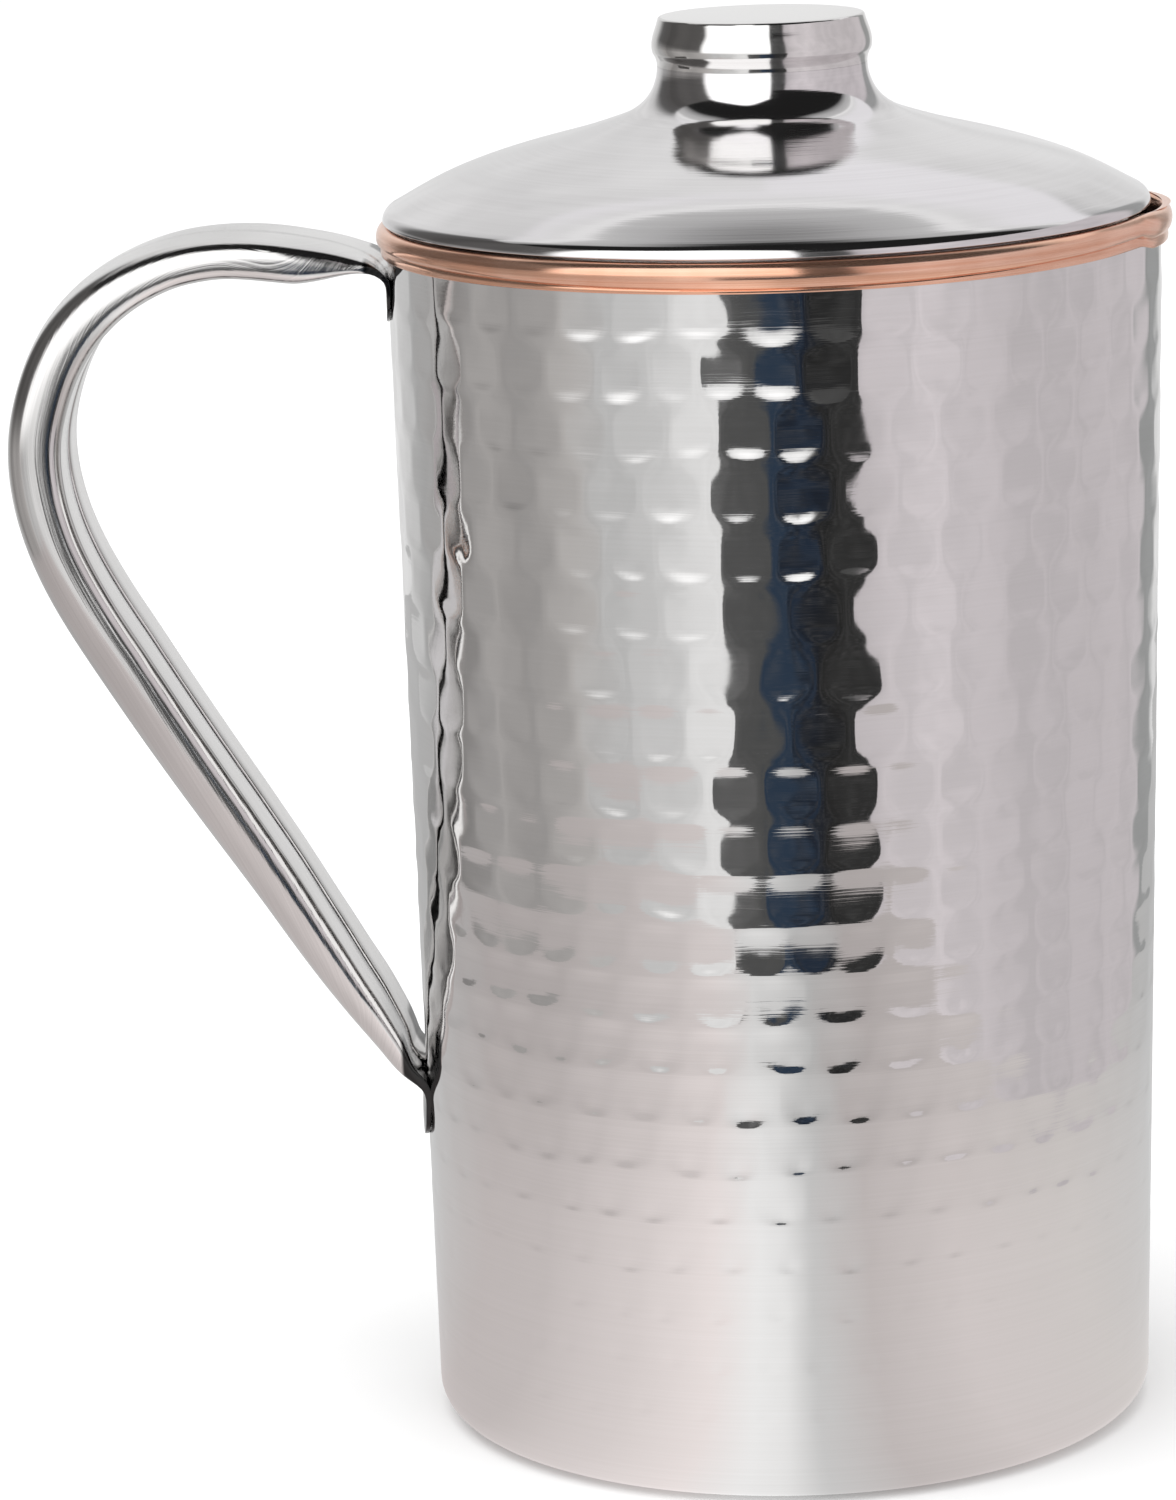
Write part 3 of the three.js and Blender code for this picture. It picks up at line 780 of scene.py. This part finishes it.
CEILING = [  # from straight overhead, 0, to 45 degrees up behind the jug, 1
    (0.0, grey(0.015)), (0.36, grey(0.015)), (0.44, grey(0.28)), (0.55, grey(0.50)),
    (0.71, grey(0.60)), (0.74, grey(0.95)), (0.78, grey(0.95)), (0.83, grey(0.82)),
    (1.0, grey(0.92, (0.985, 0.975, 1))),
]
# how high the ceiling starts in front, at the right and at the left, as z of the direction
CEILING_FRONT, CEILING_RIGHT, CEILING_LEFT, CEILING_BLUR = 0.91, 0.53, 0.707, 0.015
SOFT_LIGHT = grey(1.45)
SEEN_BY_CAMERA, SEEN_BY_FLOOR = grey(1.0), grey(1.2)


def studio():
    """White for the camera and the floor. What the metal mirrors is a soft tent: pale panels of
    slightly different greys round the jug, a big soft light in front on the left, and a dark
    ceiling that ends behind the jug."""
    world = bpy.data.worlds.new("studio")
    bpy.context.scene.world = world
    world.use_nodes = True
    n = Nodes(world.node_tree)
    x, y, z = n.xyz(n.coords("Generated"))
    azimuth = n.azimuth(x, y)

    def past(lo_deg, hi_deg):
        return n.step(azimuth, math.radians(lo_deg), math.radians(hi_deg))

    right, left = past(8.5, 9.5), n.minus(1.0, past(-70, -62))
    front = n.minus(n.minus(1.0, right), left, clamp=True)
    ring = n.ramp_round(azimuth, PANELS)
    # seams and folds in the panels, so that neighbouring prints differ a little
    folds = n.noise(n.vector(n.times(x, 7.0), n.times(y, 7.0), n.times(z, 2.5)), 1.0, 3.0, 0.6)
    ring = n.mix(n.step(folds, 0.40, 0.66, 0.0, 0.16), ring, grey(0.24))
    # the left side darkens upwards
    dusk = n.times(n.times(left, past(-152, -134)), n.step(z, -0.13, 0.12, 0.0, 0.84))
    ring = n.mix(dusk, ring, grey(0.05, WARM))
    # the soft light, which fades out a little below the horizon
    ring = n.mix(n.times(front, n.step(z, -0.15, 0.04)), ring, SOFT_LIGHT)
    # the dark ceiling: where it starts depends on the side, and its back edge is a flat curve
    arch = n.math("POWER", n.math("DIVIDE", n.add(azimuth, math.radians(25)), math.radians(38)),
                  2.0)
    start = n.add(n.minus(CEILING_FRONT, n.times(n.times(arch, front), 0.17)),
                  n.add(n.times(right, CEILING_RIGHT - CEILING_FRONT),
                        n.times(left, CEILING_LEFT - CEILING_FRONT)))
    inside = n.step(z, n.minus(start, CEILING_BLUR), n.add(start, CEILING_BLUR))
    high = n.math("MAXIMUM", z, 0.001)
    across = n.math("DIVIDE", x, high)
    bow = n.times(n.math("MINIMUM", n.times(across, across), 0.10), 0.9)
    back = n.add(n.math("DIVIDE", y, high), bow, clamp=True)
    mirrored = n.mix(inside, ring, n.ramp(back, CEILING))
    path = n.make("ShaderNodeLightPath").outputs
    plain = n.mix(path["Is Diffuse Ray"], SEEN_BY_CAMERA, SEEN_BY_FLOOR)
    other = n.add(path["Is Camera Ray"], path["Is Diffuse Ray"], clamp=True)
    background = n.make("ShaderNodeBackground", {0: n.mix(other, mirrored, plain), 1: 1.0})
    n.make("ShaderNodeOutputWorld", {0: background.outputs[0]})


def soft_light(name, place, aim, size, watts):
    light = bpy.data.lights.new(name, "AREA")
    light.shape, light.size, light.energy = "SQUARE", size, watts
    obj = bpy.data.objects.new(name, light)
    obj.location = place
    obj.rotation_mode = "QUATERNION"
    obj.rotation_quaternion = (Vector(aim) - Vector(place)).to_track_quat("-Z", "Y")
    obj.visible_glossy = False
    obj.visible_camera = False
    bpy.context.scene.collection.objects.link(obj)


studio()
soft_light("overhead", place=(-0.4, -0.5, 1.8), aim=(0, 0, 0.05), size=1.6, watts=16)

# ---------------------------------------------------------------- camera
CAMERA_PLACE = (0, -0.863412, 0.286839)
PITCH, YAW, ROLL = math.radians(12.276), math.radians(-1.867), math.radians(-1.81)
SENSOR_MM, LENS_MM = 36.0, 143.955

ahead = Vector((math.sin(YAW) * math.cos(PITCH), math.cos(YAW) * math.cos(PITCH),
                -math.sin(PITCH)))
right = Vector((math.cos(YAW), -math.sin(YAW), 0))
above = right.cross(ahead)
right, above = (math.cos(ROLL) * right + math.sin(ROLL) * above,
                -math.sin(ROLL) * right + math.cos(ROLL) * above)
camera = bpy.data.objects.new("camera", bpy.data.cameras.new("camera"))
bpy.context.scene.collection.objects.link(camera)
camera.matrix_world = Matrix((right, above, -ahead)).transposed().to_4x4()
camera.location = CAMERA_PLACE
camera.data.sensor_width = SENSOR_MM
camera.data.lens = LENS_MM
camera.data.clip_start, camera.data.clip_end = 0.05, 50
bpy.context.scene.camera = camera
bpy.context.scene.view_settings.view_transform = "Standard"

bpy.context.view_layer.update()
